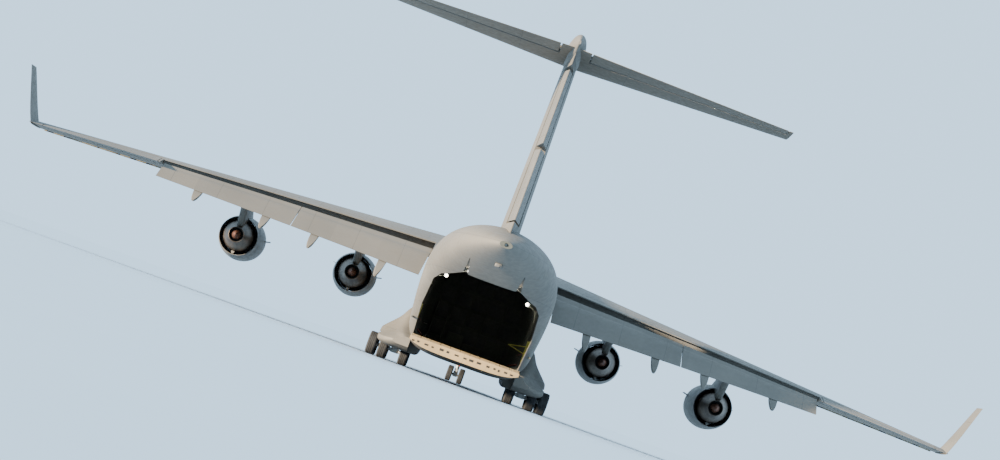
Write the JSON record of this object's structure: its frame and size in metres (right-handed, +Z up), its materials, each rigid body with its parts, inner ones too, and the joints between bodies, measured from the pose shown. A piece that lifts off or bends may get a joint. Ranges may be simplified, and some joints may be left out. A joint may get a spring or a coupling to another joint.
{
  "type": "military transport plane, 1:2 scale model",
  "caption": "High-wing four-engine military cargo plane with T-tail, winglets, rear loading ramp and cargo door, standing on its landing gear with flaps lowered.",
  "frame": {"origin": "ground level under the middle of the aircraft's length, on its centre plane", "axes": "+Y towards the nose, +X towards the right wing tip, +Z up"},
  "size_m": [25.9008, 26.5182, 8.395],
  "materials": {
    "grey_paint": "matt",
    "dark_paint": "matt",
    "ramp_cream": "worn matt",
    "interior": "matt",
    "engine_metal": "heat-stained satin",
    "fan_metal": "satin",
    "gear_white": "gloss",
    "tyre": "matt",
    "glass": "clear"
  },
  "bodies": {
    "root": {"radome": "dark_paint", "nose_section": "grey_paint", "forward_fuselage": "grey_paint", "centre_fuselage": "grey_paint", "aft_fuselage": "grey_paint", "cargo_floor": "interior", "flight_deck": "interior", "cockpit_glass": "glass", "troop_door_left": "grey_paint", "troop_door_right": "grey_paint", "wing_left": "grey_paint", "wing_right": "grey_paint", "slats_left": "grey_paint", "slats_right": "grey_paint", "wing_fairing": "grey_paint", "engine_1_cowl": "grey_paint", "engine_1_core": "engine_metal", "engine_2_cowl": "grey_paint", "engine_2_core": "engine_metal", "engine_3_cowl": "grey_paint", "engine_3_core": "engine_metal", "engine_4_cowl": "grey_paint", "engine_4_core": "engine_metal", "tailplane": "grey_paint", "fin": "grey_paint", "gear_pod_left": "grey_paint", "gear_pod_right": "grey_paint", "main_leg_left_front": "gear_white", "main_leg_left_rear": "gear_white", "main_leg_right_front": "gear_white", "main_leg_right_rear": "gear_white", "nose_leg": "gear_white"},
    "loading_ramp": {"loading_ramp": "ramp_cream"},
    "cargo_door": {"cargo_door": "grey_paint"},
    "crew_door": {"crew_door": "grey_paint"},
    "flap_inboard_left": {"flap_inboard_left": "grey_paint"},
    "flap_inboard_right": {"flap_inboard_right": "grey_paint"},
    "flap_outboard_left": {"flap_outboard_left": "grey_paint"},
    "flap_outboard_right": {"flap_outboard_right": "grey_paint"},
    "aileron_left": {"aileron_left": "grey_paint"},
    "aileron_right": {"aileron_right": "grey_paint"},
    "rudder_lower": {"rudder_lower": "grey_paint"},
    "rudder_upper": {"rudder_upper": "grey_paint"},
    "elevator_left": {"elevator_left": "grey_paint"},
    "elevator_right": {"elevator_right": "grey_paint"},
    "engine_1_fan": {"engine_1_fan": "fan_metal"},
    "engine_2_fan": {"engine_2_fan": "fan_metal"},
    "engine_3_fan": {"engine_3_fan": "fan_metal"},
    "engine_4_fan": {"engine_4_fan": "fan_metal"},
    "main_wheels_left_front": {"main_wheels_left_front": "tyre"},
    "main_wheels_left_rear": {"main_wheels_left_rear": "tyre"},
    "main_wheels_right_front": {"main_wheels_right_front": "tyre"},
    "main_wheels_right_rear": {"main_wheels_right_rear": "tyre"},
    "nose_fork": {"nose_fork": "gear_white"},
    "nose_wheels": {"nose_wheels": "tyre"}
  },
  "joints": [
    {"name": "loading_ramp_hinge", "type": "hinge", "parent": "root", "child": "loading_ramp", "pos_m": [0, -1.49, 0.695], "axis": [1, 0, 0], "range_deg": [-16.4, 10.8]},
    {"name": "cargo_door_hinge", "type": "hinge", "parent": "root", "child": "cargo_door", "pos_m": [0, -9.29, 3.09], "axis": [1, 0, 0], "range_deg": [-15, 0]},
    {"name": "crew_door_hinge", "type": "hinge", "parent": "root", "child": "crew_door", "pos_m": [-1.32, 8.91, 0.844], "axis": [0, -1, 0], "range_deg": [0, 118]},
    {"name": "flap_inboard_left_hinge", "type": "hinge", "parent": "root", "child": "flap_inboard_left", "pos_m": [-1.905, 0.33333, 2.66361], "axis": [0.9556, 0.2944, 0.0088], "range_deg": [-32, 8]},
    {"name": "flap_inboard_right_hinge", "type": "hinge", "parent": "root", "child": "flap_inboard_right", "pos_m": [1.905, 0.33333, 2.66361], "axis": [0.9556, -0.2944, -0.0088], "range_deg": [-32, 8]},
    {"name": "flap_outboard_left_hinge", "type": "hinge", "parent": "root", "child": "flap_outboard_left", "pos_m": [-5.517, -0.77952, 2.63029], "axis": [0.956, 0.2929, 0.0159], "range_deg": [-32, 8]},
    {"name": "flap_outboard_right_hinge", "type": "hinge", "parent": "root", "child": "flap_outboard_right", "pos_m": [5.517, -0.77952, 2.63029], "axis": [0.956, -0.2929, -0.0159], "range_deg": [-32, 8]},
    {"name": "aileron_left_hinge", "type": "hinge", "parent": "root", "child": "aileron_left", "pos_m": [-9.2475, -1.95806, 2.90616], "axis": [0.956, 0.2861, 0.0654], "range_deg": [-25, 25]},
    {"name": "aileron_right_hinge", "type": "hinge", "parent": "root", "child": "aileron_right", "pos_m": [9.2475, -1.95806, 2.90616], "axis": [0.956, -0.2861, -0.0654], "range_deg": [-25, 25]},
    {"name": "rudder_lower_hinge", "type": "hinge", "parent": "root", "child": "rudder_lower", "pos_m": [0, -8.52983, 4.045], "axis": [0, -0.5696, 0.8219], "range_deg": [-25, 25]},
    {"name": "rudder_upper_hinge", "type": "hinge", "parent": "root", "child": "rudder_upper", "pos_m": [0, -9.75293, 5.81], "axis": [0, -0.5696, 0.8219], "range_deg": [-25, 25]},
    {"name": "elevator_left_hinge", "type": "hinge", "parent": "root", "child": "elevator_left", "pos_m": [-0.38, -11.3229, 7.87492], "axis": [0.9416, 0.331, 0.0621], "range_deg": [-25, 20]},
    {"name": "elevator_right_hinge", "type": "hinge", "parent": "root", "child": "elevator_right", "pos_m": [0.38, -11.3229, 7.87492], "axis": [0.9416, -0.331, -0.0621], "range_deg": [-25, 20]},
    {"name": "engine_1_fan_spin", "type": "hinge", "parent": "root", "child": "engine_1_fan", "pos_m": [-7.025, 3.76, 1.83], "axis": [0, 1, 0], "continuous": true},
    {"name": "engine_2_fan_spin", "type": "hinge", "parent": "root", "child": "engine_2_fan", "pos_m": [-3.775, 5.56, 2], "axis": [0, 1, 0], "continuous": true},
    {"name": "engine_3_fan_spin", "type": "hinge", "parent": "root", "child": "engine_3_fan", "pos_m": [3.775, 5.56, 2], "axis": [0, 1, 0], "continuous": true},
    {"name": "engine_4_fan_spin", "type": "hinge", "parent": "root", "child": "engine_4_fan", "pos_m": [7.025, 3.76, 1.83], "axis": [0, 1, 0], "continuous": true},
    {"name": "main_wheels_left_front_spin", "type": "hinge", "parent": "root", "child": "main_wheels_left_front", "pos_m": [-1.81, 0.685, 0.3114], "axis": [1, 0, 0], "continuous": true},
    {"name": "main_wheels_left_rear_spin", "type": "hinge", "parent": "root", "child": "main_wheels_left_rear", "pos_m": [-1.81, -0.565, 0.3114], "axis": [1, 0, 0], "continuous": true},
    {"name": "main_wheels_right_front_spin", "type": "hinge", "parent": "root", "child": "main_wheels_right_front", "pos_m": [1.81, 0.685, 0.3114], "axis": [1, 0, 0], "continuous": true},
    {"name": "main_wheels_right_rear_spin", "type": "hinge", "parent": "root", "child": "main_wheels_right_rear", "pos_m": [1.81, -0.565, 0.3114], "axis": [1, 0, 0], "continuous": true},
    {"name": "nose_fork_steering", "type": "hinge", "parent": "root", "child": "nose_fork", "pos_m": [0, 10.09, 0.53], "axis": [0, 0, 1], "range_deg": [-65, 65]},
    {"name": "nose_wheels_spin", "type": "hinge", "parent": "nose_fork", "child": "nose_wheels", "pos_m": [0, 10.09, 0.24912], "axis": [1, 0, 0], "continuous": true}
  ],
  "couplings": [
    {"joint": "flap_inboard_left_hinge", "follows": "flap_inboard_right_hinge", "ratio": 1},
    {"joint": "flap_outboard_left_hinge", "follows": "flap_inboard_right_hinge", "ratio": 1},
    {"joint": "flap_outboard_right_hinge", "follows": "flap_inboard_right_hinge", "ratio": 1}
  ]
}
